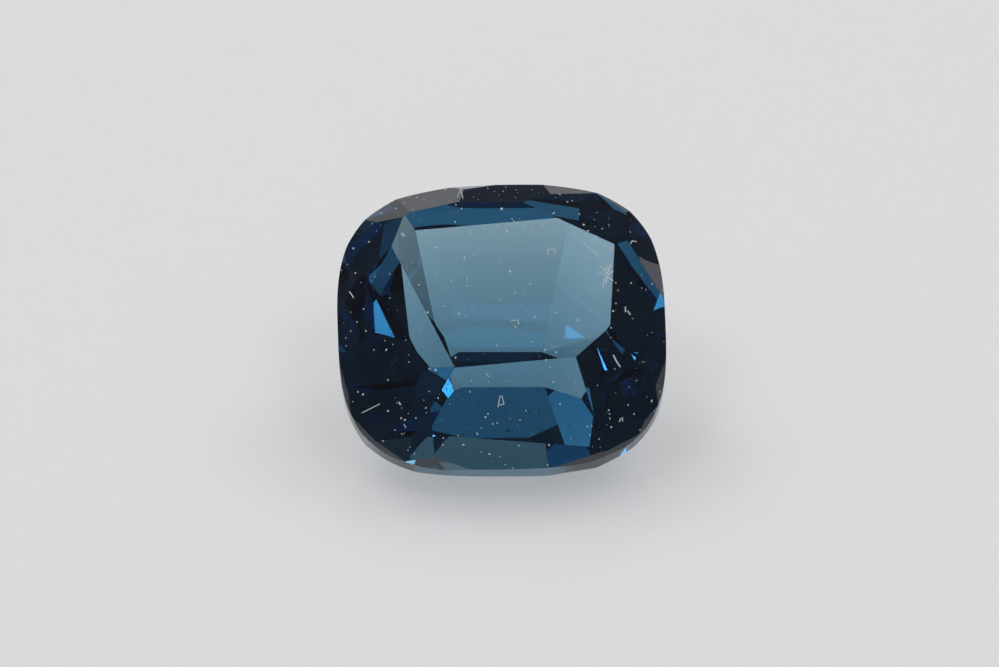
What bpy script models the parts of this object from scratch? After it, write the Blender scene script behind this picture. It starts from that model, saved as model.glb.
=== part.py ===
"""A loose cushion-cut sapphire, leaning on the low facet at the front of its pavilion."""

import math

import bmesh
import bpy
from mathutils import Matrix, Vector

# The stone is ground in millimetres and scaled to metres at the end.
MM = 0.001

# The girdle: a cushion outline, fuller than an ellipse at its four corners.
WIDTH = 7.97
LENGTH = 7.45
SQUARENESS = 3.1
GIRDLE_HEIGHT = 0.38
GIRDLE_SIDES = 144

# The table stands this far above the girdle's upper edge, and the rough is this deep below it.
CROWN_HEIGHT = 1.145
ROUGH_DEPTH = 4.0

# A row of narrow facets runs round the crown next to the girdle. The large crown facets stop this
# far above the girdle, at the narrow ones.
NARROW_HEIGHT = 0.06
NARROW_COUNT = 16
NARROW_SLOPE = 52

# How the stone lies: the facet it rests on, and the turn that brings its table round to the front.
RESTING_FACET = "keel front"
TURN = math.radians(2)

# Each facet is ground as a cutter would set it. Its direction round the stone is counted from the
# right side towards the back, and its slope from the girdle plane, both in degrees. The stone is
# hand cut, so no two sides match. Crown facets and the pavilion's first row are ground until they
# meet the girdle, at its upper edge or its lower edge.
CROWN_FACETS = (
    ("crown corner right", 61.5, 37),
    ("crown back right", 87.5, 50),
    ("crown back left", 92, 58),
    ("crown corner left", 158, 42.5),
    ("crown left", 189.5, 33.5),
    ("crown lower left", 204, 22.5),
    ("crown front left", 241, 28.5),
    ("crown front", 273.5, 24.5),
    ("crown front right", 311.5, 26),
    ("crown lower right", 332, 32.5),
    ("crown right", 355, 38),
)
FIRST_ROW = (
    ("row left", 179.5, 46),
    ("row left front", 194.5, 45),
    ("row corner left", 236, 47.5),
    ("row front left", 245, 52),
    ("row front", 278, 72.5),
    ("row front right", 300, 55),
    ("row corner right", 322, 50),
    ("row right front", 347.5, 71),
)

# The deeper facets don't reach the girdle, so each also has the distance from the stone's centre
# to its plane, in millimetres.
DEEP_FACETS = (
    ("keel front", 268, 32, 2.88),
    ("keel back", 88, 36.5, 2.58),
    ("keel left", 164, 29.5, 3.36),
    ("keel back left", 136, 41.5, 3.15),
    ("keel back right", 45, 40, 2.9),
    ("middle back", 89.5, 47.5, 2.83),
    ("middle left", 171, 46.5, 3.16),
    ("upper left", 187, 51.5, 3.43),
    ("upper left front", 203.5, 54, 3.7),
    ("middle front", 265.5, 46, 2.94),
    ("middle right", 357, 52, 3.36),
)


def cushion_radius(angle):
    """Distance from the centre to the girdle outline in the given direction."""
    across = abs(math.cos(angle)) / (WIDTH / 2)
    along = abs(math.sin(angle)) / (LENGTH / 2)
    return (across**SQUARENESS + along**SQUARENESS) ** (-1 / SQUARENESS)


def girdle_reach(direction):
    """How far the outline reaches from the centre in the direction that a facet faces."""
    facing = math.radians(direction)
    reach = 0
    for step in range(GIRDLE_SIDES):
        angle = step * math.tau / GIRDLE_SIDES
        reach = max(reach, cushion_radius(angle) * math.cos(angle - facing))
    return reach


def facet_normal(direction, slope, side):
    """Outward normal of a facet on the crown (side 1) or on the pavilion (side -1)."""
    around = math.radians(direction)
    lean = math.radians(slope)
    flat = math.sin(lean)
    return Vector((flat * math.cos(around), flat * math.sin(around), side * math.cos(lean)))


def grind(stone, normal, distance):
    """Cut the stone back to a plane and close the cut with one flat face."""
    cut = bmesh.ops.bisect_plane(
        stone,
        geom=stone.verts[:] + stone.edges[:] + stone.faces[:],
        dist=1e-4,
        plane_co=normal * distance,
        plane_no=normal,
        clear_outer=True,
    )
    rim = [item for item in cut["geom_cut"] if isinstance(item, bmesh.types.BMEdge)]
    bmesh.ops.contextual_create(stone, geom=rim)


def make_rough(stone):
    """The blank: an upright bar with the girdle's outline, from the table to below the keel."""
    height = CROWN_HEIGHT + ROUGH_DEPTH
    bmesh.ops.create_cone(
        stone,
        cap_ends=True,
        segments=GIRDLE_SIDES,
        radius1=1,
        radius2=1,
        depth=height,
    )
    for vert in stone.verts:
        angle = math.atan2(vert.co.y, vert.co.x)
        reach = cushion_radius(angle)
        vert.co.x = reach * math.cos(angle)
        vert.co.y = reach * math.sin(angle)
        vert.co.z += CROWN_HEIGHT - height / 2


def make_stone(name, material, collection):
    """Grind the blank to its facets and lay the stone on its resting facet."""
    stone = bmesh.new()
    make_rough(stone)
    rest = Vector((0, 0, -1))
    for _, direction, slope in CROWN_FACETS:
        lean = math.radians(slope)
        distance = girdle_reach(direction) * math.sin(lean) + NARROW_HEIGHT * math.cos(lean)
        grind(stone, facet_normal(direction, slope, 1), distance)
    for count in range(NARROW_COUNT):
        direction = (count + 0.5) * 360 / NARROW_COUNT
        distance = girdle_reach(direction) * math.sin(math.radians(NARROW_SLOPE))
        grind(stone, facet_normal(direction, NARROW_SLOPE, 1), distance)
    for _, direction, slope in FIRST_ROW:
        lean = math.radians(slope)
        distance = girdle_reach(direction) * math.sin(lean) + GIRDLE_HEIGHT * math.cos(lean)
        grind(stone, facet_normal(direction, slope, -1), distance)
    for facet, direction, slope, distance in DEEP_FACETS:
        normal = facet_normal(direction, slope, -1)
        grind(stone, normal, distance)
        if facet == RESTING_FACET:
            rest = normal

    lie = rest.rotation_difference(Vector((0, 0, -1))).to_matrix().to_4x4()
    bmesh.ops.transform(stone, matrix=Matrix.Rotation(TURN, 4, "Z") @ lie, verts=stone.verts)
    lows = [min(vert.co[axis] for vert in stone.verts) for axis in range(3)]
    highs = [max(vert.co[axis] for vert in stone.verts) for axis in range(3)]
    middle = Vector(((lows[0] + highs[0]) / 2, (lows[1] + highs[1]) / 2, lows[2]))
    bmesh.ops.translate(stone, vec=-middle, verts=stone.verts)
    bmesh.ops.scale(stone, vec=Vector((MM, MM, MM)), verts=stone.verts)
    bmesh.ops.recalc_face_normals(stone, faces=stone.faces)

    mesh = bpy.data.meshes.new(name)
    stone.to_mesh(mesh)
    stone.free()
    mesh.materials.append(material)
    piece = bpy.data.objects.new(name, mesh)
    collection.objects.link(piece)
    return piece


def make_material(name):
    """Deep teal blue, clear and polished."""
    material = bpy.data.materials.new(name)
    material.use_nodes = True
    surface = material.node_tree.nodes["Principled BSDF"]
    surface.inputs["Base Color"].default_value = (0.05, 0.2, 0.32, 1)
    surface.inputs["Roughness"].default_value = 0.02
    surface.inputs["IOR"].default_value = 1.77
    surface.inputs["Transmission Weight"].default_value = 1
    return material


for leftover in list(bpy.data.objects):
    bpy.data.objects.remove(leftover, do_unlink=True)

gem = bpy.data.collections.new("Sapphire")
bpy.context.scene.collection.children.link(gem)
make_stone("sapphire", make_material("sapphire"), gem)
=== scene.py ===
"""A loose cushion-cut sapphire on a glossy pale plate, seen from the front and a little above."""

import math
import random

import bmesh
import bpy
from mathutils import Matrix, Vector


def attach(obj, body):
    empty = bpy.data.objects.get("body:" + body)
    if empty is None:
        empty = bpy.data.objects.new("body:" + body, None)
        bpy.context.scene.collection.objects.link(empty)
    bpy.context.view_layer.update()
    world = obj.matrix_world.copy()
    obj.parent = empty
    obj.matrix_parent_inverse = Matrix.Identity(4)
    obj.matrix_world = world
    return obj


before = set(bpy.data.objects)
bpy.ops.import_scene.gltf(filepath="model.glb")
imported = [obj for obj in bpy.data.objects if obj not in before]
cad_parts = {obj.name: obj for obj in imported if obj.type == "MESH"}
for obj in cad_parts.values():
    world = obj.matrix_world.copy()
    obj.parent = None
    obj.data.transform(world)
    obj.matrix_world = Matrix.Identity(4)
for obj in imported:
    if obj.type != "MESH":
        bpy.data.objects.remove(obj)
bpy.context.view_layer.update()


# The stone: one crystal of sapphire, cut to flat facets and polished with diamond paste until it is
# as clear as water. Its colour comes from the depth of blue crystal that the light passes through.
SAPPHIRE_IOR = 1.77
# How strongly a metre of the crystal absorbs, and the colour that it lets pass.
CRYSTAL_DENSITY = 450
CRYSTAL_TINT = "50BDD7"
# The film covers a small share of the surface, in smears of about a millimetre. The noise is
# stretched from its usual lows and highs to the least and the most cover.
FILM_COLOUR = "D9D6E6"
FILM_COVER = (0.002, 0.012)
SMEARS_PER_METRE = 900
SMEAR_LOW = 0.35
SMEAR_HIGH = 0.75


def srgb(code):
    """A hex colour as linear red, green, blue and 1."""
    channels = [int(code[i : i + 2], 16) / 255 for i in (0, 2, 4)]
    linear = [c / 12.92 if c <= 0.04045 else ((c + 0.055) / 1.055) ** 2.4 for c in channels]
    return (*linear, 1)


def add_node(tree, kind, inputs=None, **settings):
    """Add a node, set its options and fill its inputs with values or links."""
    node = tree.nodes.new(kind)
    for name, value in settings.items():
        setattr(node, name, value)
    for name, value in (inputs or {}).items():
        if isinstance(value, bpy.types.NodeSocket):
            tree.links.new(value, node.inputs[name])
        else:
            node.inputs[name].default_value = value
    return node


def new_material(name):
    """An empty node material and its output node."""
    material = bpy.data.materials.new(name)
    material.use_nodes = True
    material.node_tree.nodes.clear()
    return material, add_node(material.node_tree, "ShaderNodeOutputMaterial")


def make_sapphire():
    """Sapphire, diamond polished: clear, with a thin film of handling grease and dust on it."""
    material, output = new_material("polished sapphire")
    tree = material.node_tree
    place = add_node(tree, "ShaderNodeTexCoord")
    crystal = add_node(
        tree,
        "ShaderNodeBsdfPrincipled",
        {
            "Base Color": srgb("FFFFFF"),
            "Roughness": 0.0,
            "IOR": SAPPHIRE_IOR,
            "Transmission Weight": 1.0,
        },
    )
    film = add_node(tree, "ShaderNodeBsdfDiffuse", {"Color": srgb(FILM_COLOUR)})
    smear = add_node(
        tree,
        "ShaderNodeTexNoise",
        {
            "Vector": place.outputs["Object"],
            "Scale": SMEARS_PER_METRE,
            "Detail": 4,
            "Roughness": 0.6,
        },
    )
    amount = add_node(
        tree,
        "ShaderNodeMapRange",
        {
            "Value": smear.outputs["Fac"],
            "From Min": SMEAR_LOW,
            "From Max": SMEAR_HIGH,
            "To Min": FILM_COVER[0],
            "To Max": FILM_COVER[1],
        },
    )
    surface = add_node(tree, "ShaderNodeMixShader", {"Fac": amount.outputs["Result"]})
    tree.links.new(crystal.outputs["BSDF"], surface.inputs[1])
    tree.links.new(film.outputs["BSDF"], surface.inputs[2])
    tree.links.new(surface.outputs["Shader"], output.inputs["Surface"])
    depth = add_node(
        tree,
        "ShaderNodeVolumeAbsorption",
        {"Color": srgb(CRYSTAL_TINT), "Density": CRYSTAL_DENSITY},
    )
    tree.links.new(depth.outputs["Volume"], output.inputs["Volume"])
    return material


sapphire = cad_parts["sapphire"]
sapphire.data.materials.clear()
sapphire.data.materials.append(make_sapphire())


# The plate under the stone: a sheet of glossy opal acrylic, lit softly from below as well as from
# above. It lies a hair below the stone, because two faces in one plane would render black.
MM = 0.001
PLATE_HALF = 0.4
AIR_GAP = 0.01 * MM
ACRYLIC_COLOUR = "E9E8E9"
ACRYLIC_ROUGHNESS = 0.07
ACRYLIC_IOR = 1.49
SCATTER_DEPTH = 6 * MM
GLOW_FROM_BELOW = 0.25

scene = bpy.context.scene


def make_plate():
    """Acrylic, cast and flame polished: pale, smooth and glossy."""
    material, output = new_material("glossy acrylic")
    tree = material.node_tree
    skin = add_node(
        tree,
        "ShaderNodeBsdfPrincipled",
        {
            "Base Color": srgb(ACRYLIC_COLOUR),
            "Roughness": ACRYLIC_ROUGHNESS,
            "IOR": ACRYLIC_IOR,
            "Subsurface Weight": 1.0,
            "Subsurface Radius": (1.0, 1.0, 1.0),
            "Subsurface Scale": SCATTER_DEPTH,
            "Emission Color": srgb("FFFFFF"),
            "Emission Strength": GLOW_FROM_BELOW,
        },
    )
    tree.links.new(skin.outputs["BSDF"], output.inputs["Surface"])
    mesh = bpy.data.meshes.new("plate")
    corners = [(x * PLATE_HALF, y * PLATE_HALF, -AIR_GAP) for x, y in ((-1, -1), (1, -1), (1, 1), (-1, 1))]
    mesh.from_pydata(corners, [], [(0, 1, 2, 3)])
    mesh.materials.append(material)
    plate = bpy.data.objects.new("plate", mesh)
    scene.collection.objects.link(plate)


make_plate()


# Studio light: softboxes and small panels round the stone, and a dim room. The panels are what the
# facets flash with.
ROOM_COLOUR = "F8FAFF"
ROOM_STRENGTH = 0.06
LAMP_DISTANCE = 0.5
# Name, azimuth, elevation, side length in metres and strength. Azimuth 0 is the camera's side, 90
# is the right, and 180 is behind the stone.
LAMPS = (
    ("back left softbox", 225, 48, 0.16, 4),
    ("back right softbox", 128, 48, 0.16, 4),
    ("front left softbox", 295, 64, 0.12, 7.5),
    ("front right softbox", 45, 60, 0.12, 7.5),
    ("back panel", 180, 22, 0.3, 0.2),
    ("overhead panel", 180, 86, 0.1, 0.45),
    ("high left panel", 229.5, 67, 0.11, 2.6),
    ("high right panel", 128.5, 61.5, 0.11, 0.95),
    ("left panel", 269.5, 44, 0.07, 0.95),
    ("right panel", 64.5, 32.5, 0.07, 0.55),
    ("front panel", 358, 27.5, 0.09, 2.6),
    ("left lamp", 218, 46, 0.07, 6),
    ("low left panel", 248, 6, 0.08, 0.3),
    ("low right panel", 125, 2, 0.08, 0.55),
)


def light_room():
    """An even, dim light from all sides."""
    world = bpy.data.worlds.new("dim studio")
    scene.world = world
    world.use_nodes = True
    background = world.node_tree.nodes["Background"]
    background.inputs["Color"].default_value = srgb(ROOM_COLOUR)
    background.inputs["Strength"].default_value = ROOM_STRENGTH


def hang_lamp(name, azimuth, elevation, size, strength):
    """A square lamp that points at the stone. Its power grows with its area."""
    lamp = bpy.data.lights.new(name, "AREA")
    lamp.shape = "SQUARE"
    lamp.size = size
    lamp.energy = strength * size * size * math.pi
    holder = bpy.data.objects.new(name, lamp)
    turn = math.radians(azimuth)
    lift = math.radians(elevation)
    flat = math.cos(lift)
    away = Vector((math.sin(turn) * flat, -math.cos(turn) * flat, math.sin(lift)))
    holder.location = away * LAMP_DISTANCE
    holder.rotation_euler = away.to_track_quat("Z", "Y").to_euler()
    scene.collection.objects.link(holder)


light_room()
for lamp_row in LAMPS:
    hang_lamp(*lamp_row)


# The camera: a long macro lens, 36 degrees above the plate. A pixel of the picture is as wide as
# the stone, 8 mm, shared over the 329 pixels that it spans.
CAMERA_LIFT = math.radians(36.25)
CAMERA_DISTANCE = 0.3
SENSOR_WIDTH = 36
CLIP_NEAR = 0.01
CLIP_FAR = 5
PIXEL = 8.0 * MM / 329
IMAGE_WIDTH = 999
IMAGE_HEIGHT = 667
# The middle of the girdle, as a pixel of the picture and as a place in the part's frame.
GIRDLE_PIXEL = (501.6, 327.8)
GIRDLE_CENTRE = Vector((0, -0.000006, 0.00288))


def pixel_point(x, y):
    """Where a pixel lies on the plane through the girdle's middle that faces the camera."""
    up = Vector((0, math.sin(CAMERA_LIFT), math.cos(CAMERA_LIFT)))
    right = Vector((1, 0, 0))
    return GIRDLE_CENTRE + (right * (x - GIRDLE_PIXEL[0]) + up * (GIRDLE_PIXEL[1] - y)) * PIXEL


def make_camera():
    """Place the camera so that the stone stands where the photograph has it."""
    lens = bpy.data.cameras.new("macro camera")
    lens.sensor_width = SENSOR_WIDTH
    lens.lens = SENSOR_WIDTH * CAMERA_DISTANCE / (IMAGE_WIDTH * PIXEL)
    lens.clip_start = CLIP_NEAR
    lens.clip_end = CLIP_FAR
    camera = bpy.data.objects.new("macro camera", lens)
    toward = Vector((0, -math.cos(CAMERA_LIFT), math.sin(CAMERA_LIFT)))
    camera.location = pixel_point(IMAGE_WIDTH / 2, IMAGE_HEIGHT / 2) + toward * CAMERA_DISTANCE
    camera.rotation_euler = toward.to_track_quat("Z", "Y").to_euler()
    scene.collection.objects.link(camera)
    scene.camera = camera
    return camera.location.copy()


eye = make_camera()


# Dust: pale grains that have settled on the table and the crown, a few hundredths of a millimetre
# across. Geometry Nodes scatter them over the faces that look up.
DUST_PER_SQUARE_METRE = 7e6
DUST_COLOUR = "EEF2F6"
DUST_SEED = 5
# A grain's largest radius. Each grain's own share of it is a random draw, between the smallest draw
# and 1, raised to a power that makes most grains small.
GRAIN_SIZE = 0.029 * MM
SMALLEST_DRAW = 0.25
SMALL_GRAIN_POWER = 2.5
# Each grain is stretched by its own amounts along, across and up, and turned by its own angle.
LEAST_STRETCH = (0.6, 0.6, 0.25)
MOST_STRETCH = (1.6, 1.0, 0.45)
STRETCH_SEED = 3
SPIN_SEED = 7
# Faces whose normal rises less than this keep no dust.
LEAST_RISE = 0.35


def make_dust_material():
    """House dust: dull, pale grains."""
    material, output = new_material("house dust")
    tree = material.node_tree
    grain = add_node(
        tree,
        "ShaderNodeBsdfPrincipled",
        {"Base Color": srgb(DUST_COLOUR), "Roughness": 0.9},
    )
    tree.links.new(grain.outputs["BSDF"], output.inputs["Surface"])
    return material


dust_material = make_dust_material()


def dust_tree():
    """Scatter grains on upward faces, each with its own size, stretch and turn."""
    tree = bpy.data.node_groups.new("settled dust", "GeometryNodeTree")
    tree.is_modifier = True
    tree.interface.new_socket("Geometry", in_out="INPUT", socket_type="NodeSocketGeometry")
    sizes = (("Density", "NodeSocketFloat"), ("Grain", "NodeSocketFloat"), ("Seed", "NodeSocketInt"))
    for name, kind in sizes:
        tree.interface.new_socket(name, in_out="INPUT", socket_type=kind)
    tree.interface.new_socket("Geometry", in_out="OUTPUT", socket_type="NodeSocketGeometry")
    given = add_node(tree, "NodeGroupInput").outputs
    facing = add_node(tree, "GeometryNodeInputNormal")
    parts = add_node(tree, "ShaderNodeSeparateXYZ", {"Vector": facing.outputs["Normal"]})
    upward = add_node(
        tree,
        "FunctionNodeCompare",
        {0: parts.outputs["Z"], 1: LEAST_RISE},
        operation="GREATER_THAN",
    )
    spots = add_node(
        tree,
        "GeometryNodeDistributePointsOnFaces",
        {
            "Mesh": given["Geometry"],
            "Selection": upward.outputs[0],
            "Density": given["Density"],
            "Seed": given["Seed"],
        },
    )
    ball = add_node(tree, "GeometryNodeMeshIcoSphere", {"Radius": 1.0, "Subdivisions": 1})
    size = add_node(
        tree,
        "FunctionNodeRandomValue",
        {2: SMALLEST_DRAW, 3: 1.0, "Seed": given["Seed"]},
        data_type="FLOAT",
    )
    share = add_node(
        tree,
        "ShaderNodeMath",
        {0: size.outputs[1], 1: SMALL_GRAIN_POWER},
        operation="POWER",
    )
    reach = add_node(
        tree,
        "ShaderNodeMath",
        {0: share.outputs[0], 1: given["Grain"]},
        operation="MULTIPLY",
    )
    stretch = add_node(
        tree,
        "FunctionNodeRandomValue",
        {0: LEAST_STRETCH, 1: MOST_STRETCH, "Seed": STRETCH_SEED},
        data_type="FLOAT_VECTOR",
    )
    scale = add_node(
        tree,
        "ShaderNodeVectorMath",
        {0: stretch.outputs[0], "Scale": reach.outputs[0]},
        operation="SCALE",
    )
    spin = add_node(
        tree,
        "FunctionNodeRandomValue",
        {0: (0, 0, 0), 1: (0, 0, math.tau), "Seed": SPIN_SEED},
        data_type="FLOAT_VECTOR",
    )
    turned = add_node(
        tree,
        "FunctionNodeRotateRotation",
        {"Rotation": spots.outputs["Rotation"], "Rotate By": spin.outputs[0]},
        rotation_space="LOCAL",
    )
    grains = add_node(
        tree,
        "GeometryNodeInstanceOnPoints",
        {
            "Points": spots.outputs["Points"],
            "Instance": ball.outputs["Mesh"],
            "Rotation": turned.outputs["Rotation"],
            "Scale": scale.outputs["Vector"],
        },
    )
    real = add_node(tree, "GeometryNodeRealizeInstances", {"Geometry": grains.outputs["Instances"]})
    dressed = add_node(
        tree,
        "GeometryNodeSetMaterial",
        {"Geometry": real.outputs["Geometry"], "Material": dust_material},
    )
    add_node(tree, "NodeGroupOutput", {"Geometry": dressed.outputs["Geometry"]})
    return tree


def as_plain_mesh(source, name):
    """The evaluated object as a mesh object of its own; the source is removed."""
    ready = source.evaluated_get(bpy.context.evaluated_depsgraph_get())
    mesh = bpy.data.meshes.new_from_object(ready)
    bpy.data.objects.remove(source, do_unlink=True)
    piece = bpy.data.objects.new(name, mesh)
    scene.collection.objects.link(piece)
    return piece


def scatter_dust():
    """Lay the dust on a copy of the stone's surface."""
    ground = bpy.data.objects.new("dust ground", sapphire.data.copy())
    scene.collection.objects.link(ground)
    tree = dust_tree()
    layer = ground.modifiers.new("dust", "NODES")
    layer.node_group = tree
    values = {"Density": DUST_PER_SQUARE_METRE, "Grain": GRAIN_SIZE, "Seed": DUST_SEED}
    for item in tree.interface.items_tree:
        if item.name in values:
            layer[item.identifier] = values[item.name]
    dust = as_plain_mesh(ground, "dust")
    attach(dust, "root")


scatter_dust()


# Marks: larger specks, lint and fine scratches, and a small bruise with short cracks at the right
# end of the table, where the crystal is crushed. Each lies on the facet that it is seen on: a speck
# is a flattened grain, and lint, a scratch or a crack is a thin rod. All are as pale as the dust.

# A speck is a pixel of the picture and a radius in pixels.
SPECKS = (
    (510, 271.6, 1.5), (459, 314, 1.2), (444, 306, 1.1), (451, 280.4, 1.2), (467, 279, 1),
    (467, 286, 1), (556, 313, 1.1), (484, 306, 0.8), (419, 285, 1.3), (396, 209, 1.5), (424, 199.6, 1),
    (425.4, 230.4, 1.1), (403.6, 235.4, 1.1), (435, 248, 1), (485, 250.4, 1), (353.6, 248.6, 1.3),
    (501.6, 209, 1.4), (560, 195, 1), (554, 213, 1), (583.6, 225, 1.5), (579, 214, 1.2), (602, 229, 1),
    (517, 223, 1.3), (524, 227, 1.2), (507, 231, 1.2), (542, 226, 1.1), (512, 219, 0.9), (533, 229, 1),
    (470, 392, 1), (489, 382, 1), (550, 367, 1.2), (553, 382, 1.2), (438, 398, 1.1), (488, 414, 1),
    (560, 404, 1), (405, 420, 1.4), (388, 411, 1.1), (400, 404, 1.2), (416, 418, 0.9), (426, 408, 1),
    (358, 392, 1.1), (388, 380, 1.1), (634, 414, 1), (660, 392, 1.2), (489.4, 454, 1.1),
    (549, 445, 1.1), (599, 439, 1.1), (390, 298, 1), (596, 236, 1), (588, 231, 1), (572, 201, 0.9),
    (532, 190, 0.8), (455, 222, 0.9), (470, 233, 1), (476, 237, 0.9), (420, 331, 0.8), (532, 342, 0.9),
    (545, 350, 1), (500, 300, 0.8), (530, 284, 0.9), (346, 338, 0.9), (351, 331, 0.9), (357, 322, 0.8),
    (366, 331, 1), (374, 350, 0.8), (395, 430, 1), (402, 434, 0.9), (383, 441, 0.9), (410, 447, 0.9),
    (640, 430, 0.8), (628, 405, 0.8), (520, 420, 0.9),
)
# Lint and scratches: the pixels that a stroke passes through, and its radius in pixels.
THREADS = (
    (((460.5, 187), (461.5, 193), (463, 199)), 0.45),
    (((460.5, 190), (457.5, 198)), 0.35),
    (((583, 243), (591, 250), (598, 256)), 0.5),
    (((623, 308), (627, 311), (630, 315)), 0.7),
    (((350, 292), (352, 295), (354, 298)), 0.55),
    (((362, 413), (371, 408.5), (380, 404)), 0.45),
    (((498, 407), (500, 396), (502, 396), (504, 404), (499, 405)), 0.45),
    (((511, 321.5), (515, 320), (519, 322), (518, 325)), 0.45),
    (((514, 326), (517, 328)), 0.4),
    (((548, 255), (548, 249.5), (556, 249.5), (555, 253)), 0.5),
    (((613, 355), (616, 361), (620, 367)), 0.8),
    (((630, 244), (632, 241), (636, 242)), 0.5),
    (((619, 422), (621, 418), (624, 421)), 0.5),
    (((396, 404), (399, 402), (401, 405)), 0.5),
    (((489, 377), (486, 373)), 0.35),
    (((404, 424), (406, 428)), 0.4),
)
# The bruise's cracks, in the same form.
BRUISE = (
    (((607, 274), (600, 266)), 0.5),
    (((607, 274), (611, 265)), 0.6),
    (((608, 275), (613, 271)), 0.6),
    (((607, 276), (613, 281)), 0.45),
    (((606, 275), (598, 272)), 0.45),
    (((606, 276), (603, 284), (604, 288)), 0.5),
    (((608, 276), (606, 283)), 0.6),
    (((604, 270), (607, 268), (609, 272)), 0.5),
)
SPECK_SEED = 11
SPECK_LENGTH = (0.7, 1.2)
SPECK_BREADTH = (0.6, 1.1)
SPECK_HEIGHT = 0.45
SPECK_LIFT = 0.3
THREAD_SIDES = 6


def on_stone(x, y):
    """The point of the stone's surface seen at a pixel, and the surface's outward direction."""
    aim = (pixel_point(x, y) - eye).normalized()
    found, place, outward, _ = sapphire.ray_cast(eye, aim)
    return (place, outward) if found else None


def lay_specks(build, specks):
    """Flattened grains, each with its own outline and turn, a little sunk into the facet."""
    rng = random.Random(SPECK_SEED)
    for x, y, radius in specks:
        found = on_stone(x, y)
        if found is None:
            continue
        reach = radius * PIXEL
        turn = found[1].to_track_quat("Z", "Y").to_matrix().to_4x4()
        length = rng.uniform(*SPECK_LENGTH)
        breadth = rng.uniform(*SPECK_BREADTH)
        shape = Matrix.Diagonal((length, breadth, SPECK_HEIGHT, 1))
        spin = Matrix.Rotation(rng.uniform(0, math.pi), 4, "Z")
        place = Matrix.Translation(found[0] + found[1] * reach * SPECK_LIFT) @ turn @ spin @ shape
        bmesh.ops.create_icosphere(build, subdivisions=1, radius=reach, matrix=place)


def lay_threads(build, strokes):
    """Thin rods laid along each stroke, resting on the facet."""
    for stroke, radius in strokes:
        laid = [on_stone(x, y) for x, y in stroke]
        for start, end in zip(laid, laid[1:]):
            if start is None or end is None:
                continue
            reach = radius * PIXEL
            low = start[0] + start[1] * reach
            high = end[0] + end[1] * reach
            along = high - low
            turn = along.to_track_quat("Z", "Y").to_matrix().to_4x4()
            bmesh.ops.create_cone(
                build,
                cap_ends=True,
                segments=THREAD_SIDES,
                radius1=reach,
                radius2=reach,
                depth=along.length,
                matrix=Matrix.Translation((low + high) / 2) @ turn,
            )


def make_marks(name, specks, strokes):
    """One piece with all the specks and threads of one kind."""
    build = bmesh.new()
    lay_specks(build, specks)
    lay_threads(build, strokes)
    mesh = bpy.data.meshes.new(name)
    build.to_mesh(mesh)
    build.free()
    mesh.materials.append(dust_material)
    piece = bpy.data.objects.new(name, mesh)
    scene.collection.objects.link(piece)
    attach(piece, "root")


make_marks("specks_and_lint", SPECKS, THREADS)
make_marks("bruise", (), BRUISE)


# The light needs many turns inside the stone before it leaves.
LIGHT_TURNS = 24
scene.cycles.max_bounces = LIGHT_TURNS
scene.cycles.transmission_bounces = LIGHT_TURNS
scene.cycles.glossy_bounces = LIGHT_TURNS
scene.cycles.caustics_reflective = True
scene.cycles.caustics_refractive = True
scene.view_settings.view_transform = "Standard"
